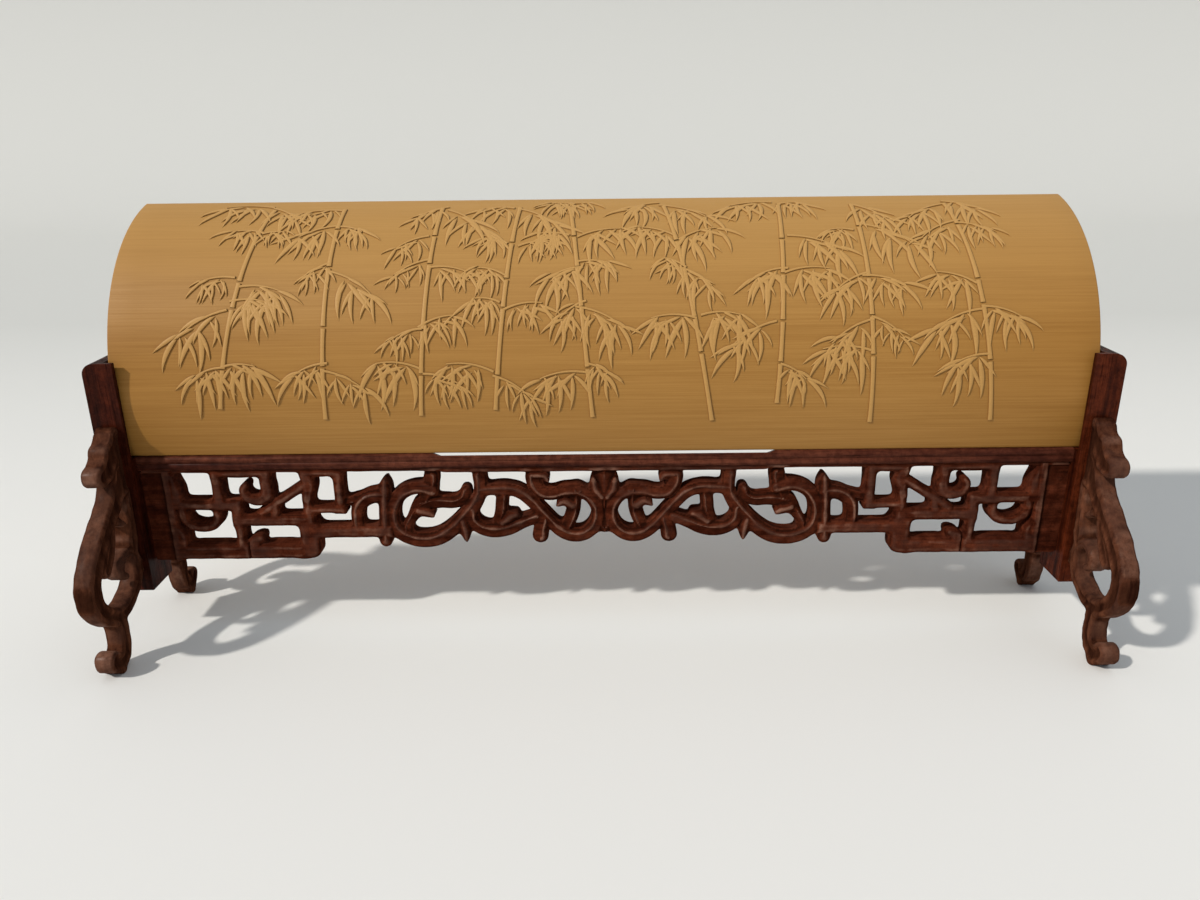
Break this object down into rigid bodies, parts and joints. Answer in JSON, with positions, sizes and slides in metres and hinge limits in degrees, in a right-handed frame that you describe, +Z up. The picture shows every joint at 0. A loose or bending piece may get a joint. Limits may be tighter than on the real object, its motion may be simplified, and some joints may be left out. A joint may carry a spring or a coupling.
{
  "type": "bamboo wrist rest on a display stand",
  "caption": "Carved bamboo wrist rest that lifts out of a rosewood display stand with a pierced fret-and-scroll apron and scrolled bracket feet",
  "frame": {"origin": "on the table, under the middle of the whole object", "axes": "+X along the bamboo, -Y towards the carved front, +Z up"},
  "size_m": [0.3134, 0.0778, 0.1355],
  "materials": {
    "bamboo": "old bamboo, honey brown, worn to a soft sheen",
    "rosewood": "dark red-brown rosewood, waxed to a satin sheen",
    "pin_bamboo": "raw bamboo dowel"
  },
  "bodies": {
    "stand": {"left_post": "rosewood", "right_post": "rosewood", "top_rail": "rosewood", "apron_panel": "rosewood", "front_left_bracket": "rosewood", "front_right_bracket": "rosewood", "rear_left_bracket": "rosewood", "rear_right_bracket": "rosewood", "bracket_pins": "pin_bamboo"},
    "wrist_rest": {"wrist_rest": "bamboo"}
  },
  "joints": [
    {"name": "lift", "type": "slide", "parent": "stand", "child": "wrist_rest", "axis": [0, 0, 1], "range_m": [0, 0.045]}
  ]
}
